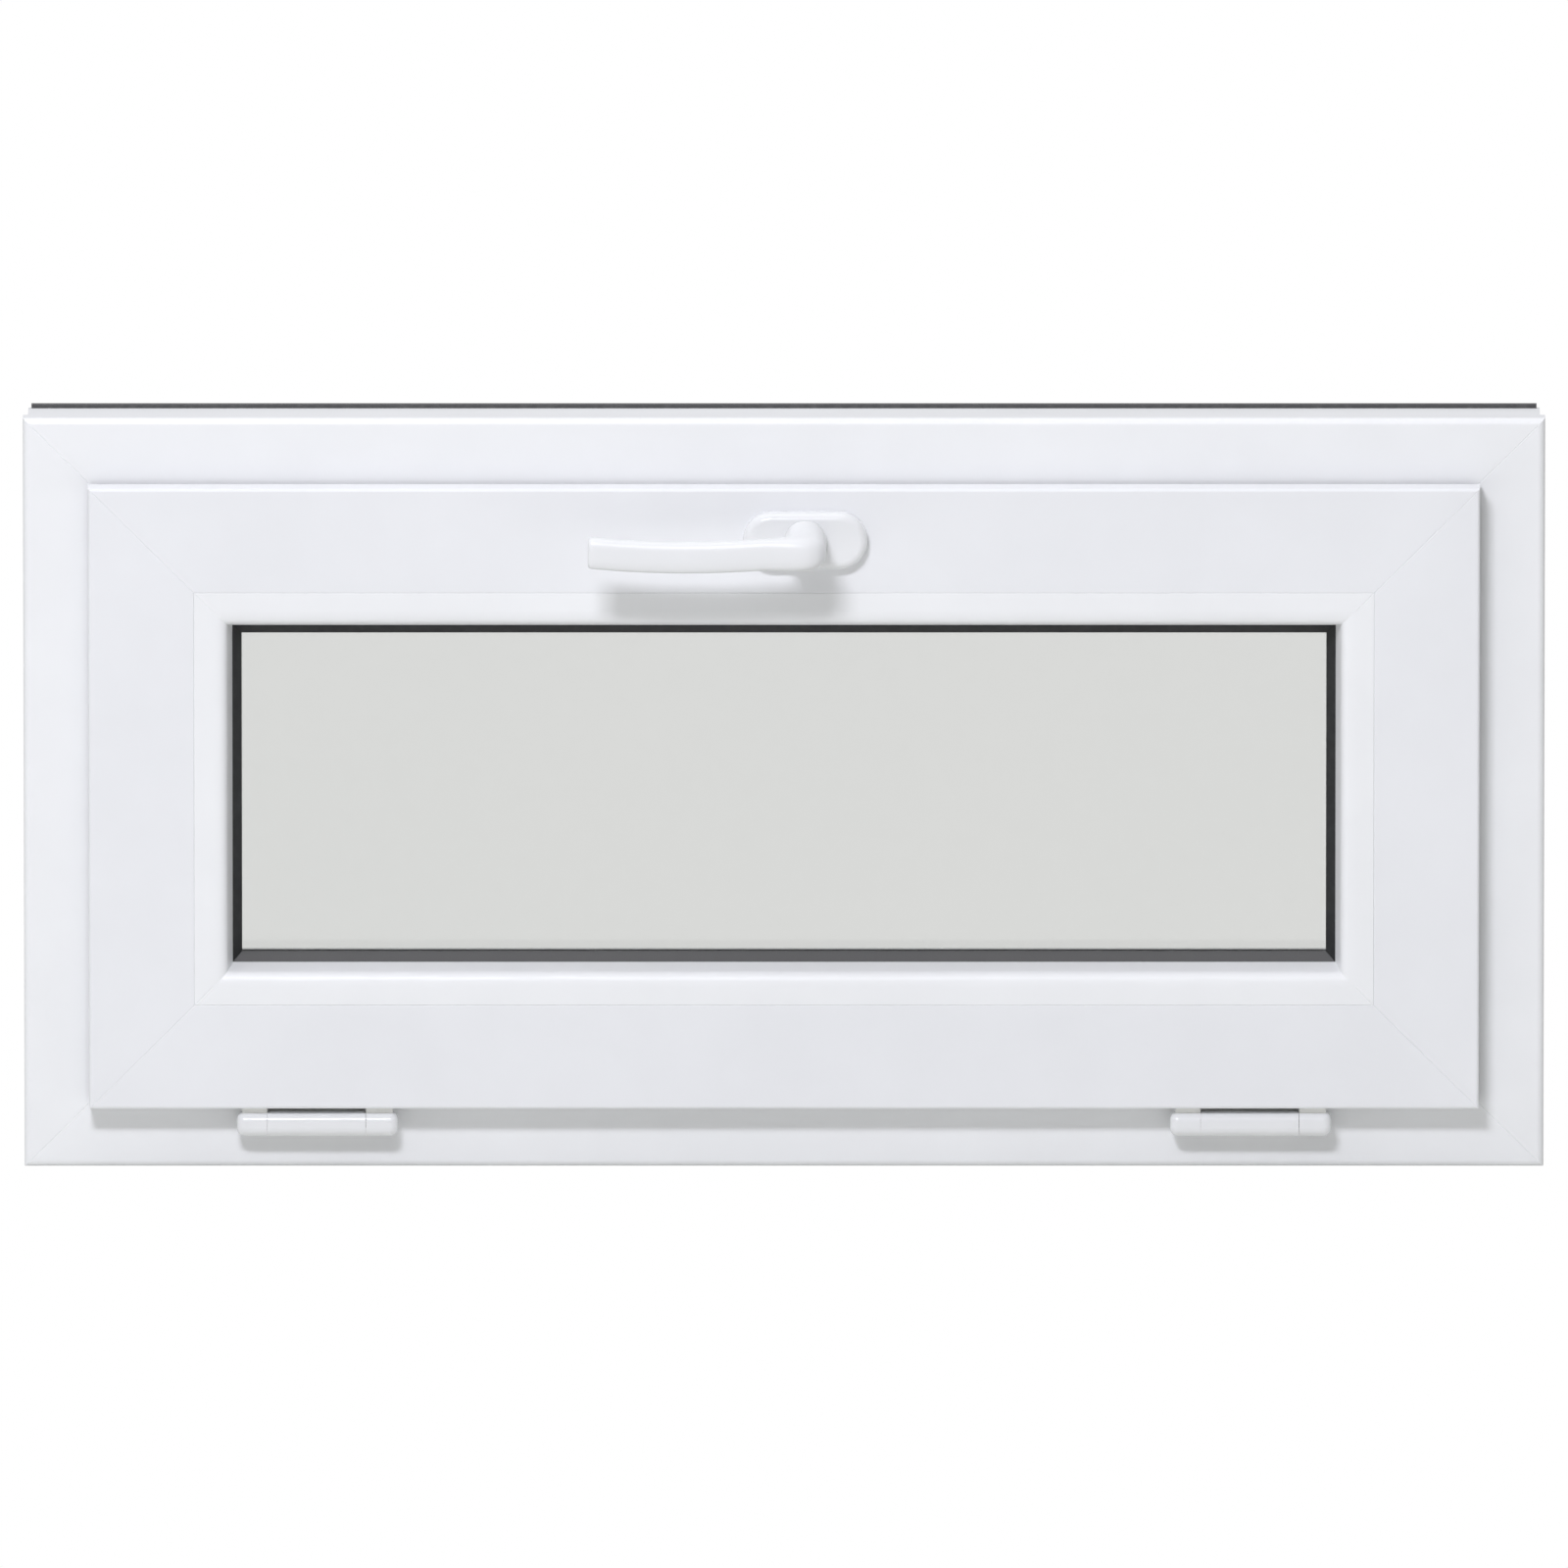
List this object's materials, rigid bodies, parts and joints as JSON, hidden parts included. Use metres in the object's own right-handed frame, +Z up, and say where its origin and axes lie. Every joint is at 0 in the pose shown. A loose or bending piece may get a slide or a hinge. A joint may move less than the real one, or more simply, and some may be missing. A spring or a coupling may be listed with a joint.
{
  "type": "casement window",
  "caption": "White hollow-profile casement window, hinged at the bottom to tilt into the room, with double glazing, a turning handle, hidden lock and stays.",
  "frame": {"origin": "middle of the underside of the frame's room-side flange, which stands on the sill", "axes": "+X to the right as seen from the room, +Y through the wall to the outside, +Z up"},
  "size_m": [1, 0.1534, 0.5],
  "materials": {
    "frame_pvc": "satin white rigid PVC",
    "sash_pvc": "satin white rigid PVC",
    "bead_pvc": "satin white rigid PVC",
    "white_plastic": "glossy white moulded plastic",
    "white_lacquer": "white powder coat on aluminium",
    "coated_steel": "white coated steel",
    "galvanised_steel": "hot-dip galvanised",
    "plated_steel": "satin zinc plated",
    "bright_steel": "bright zinc plated",
    "zinc_alloy": "die cast",
    "spacer_aluminium": "mill",
    "black_rubber": "matte black EPDM",
    "grey_sealing_strip": "dark grey compressible strip",
    "black_sealant": "cured sealant",
    "packer_plastic": "moulded plastic",
    "float_glass": "clear float glass"
  },
  "bodies": {
    "frame": {"frame_bottom_rail": "frame_pvc", "frame_top_rail": "frame_pvc", "frame_left_jamb": "frame_pvc", "frame_right_jamb": "frame_pvc", "frame_reinforcements": "galvanised_steel", "frame_seal": "black_rubber", "top_sealing_strip": "grey_sealing_strip", "drainage_caps": "white_plastic", "lock_keeps": "plated_steel", "keep_screws": "bright_steel", "hinge_frame_leaves": "coated_steel", "hinge_frame_screws": "bright_steel", "hinge_pins": "bright_steel", "hinge_frame_covers": "white_plastic", "stay_frame_brackets": "plated_steel", "stay_bracket_screws": "bright_steel", "stay_pivot_pins": "bright_steel"},
    "sash": {"sash_bottom_rail": "sash_pvc", "sash_top_rail": "sash_pvc", "sash_left_stile": "sash_pvc", "sash_right_stile": "sash_pvc", "sash_reinforcements": "galvanised_steel", "sash_seal": "black_rubber", "glazing_bead_bottom": "bead_pvc", "glazing_bead_top": "bead_pvc", "glazing_bead_left": "bead_pvc", "glazing_bead_right": "bead_pvc", "inner_glazing_gasket": "black_rubber", "outer_glazing_gasket": "black_rubber", "inner_pane": "float_glass", "outer_pane": "float_glass", "spacer_bar": "spacer_aluminium", "edge_seal": "black_sealant", "glazing_packers": "packer_plastic", "gearbox_case": "zinc_alloy", "lock_faceplate": "plated_steel", "faceplate_screws": "bright_steel", "hinge_sash_leaves": "coated_steel", "hinge_sash_screws": "bright_steel", "hinge_sash_covers": "white_plastic", "stay_tracks": "plated_steel", "track_screws": "bright_steel", "rose_base": "zinc_alloy", "rose_cover": "white_plastic", "handle_screws": "bright_steel"},
    "handle": {"handle_lever": "white_lacquer", "handle_spindle": "zinc_alloy", "gear_pinion": "zinc_alloy"},
    "lock_rod": {"drive_rod": "plated_steel", "locking_cams": "zinc_alloy"},
    "stay_arm_left": {"stay_arm_left": "plated_steel", "stay_slide_pin_left": "bright_steel"},
    "stay_arm_right": {"stay_arm_right": "plated_steel", "stay_slide_pin_right": "bright_steel"}
  },
  "joints": [
    {"name": "sash_tilt", "type": "hinge", "parent": "frame", "child": "sash", "pos_m": [0, -0.02, 0.0315], "axis": [1, 0, 0], "range_deg": [0, 28]},
    {"name": "handle_turn", "type": "hinge", "parent": "sash", "child": "handle", "pos_m": [0.014, -0.0305, 0.4237], "axis": [0, -1, 0], "range_deg": [0, 90]},
    {"name": "rod_slide", "type": "slide", "parent": "sash", "child": "lock_rod", "axis": [-1, 0, 0], "range_m": [0, 0.01257]},
    {"name": "stay_turn_left", "type": "hinge", "parent": "frame", "child": "stay_arm_left", "pos_m": [-0.445, 0.00219, 0.20005], "axis": [1, 0, 0], "range_deg": [0, 56]},
    {"name": "stay_turn_right", "type": "hinge", "parent": "frame", "child": "stay_arm_right", "pos_m": [0.445, 0.00219, 0.20005], "axis": [1, 0, 0], "range_deg": [0, 56]}
  ],
  "couplings": [
    {"joint": "rod_slide", "follows": "handle_turn", "m_per_rad": 0.008},
    {"joint": "stay_turn_left", "follows": "sash_tilt", "ratio": 2},
    {"joint": "stay_turn_right", "follows": "sash_tilt", "ratio": 2}
  ]
}
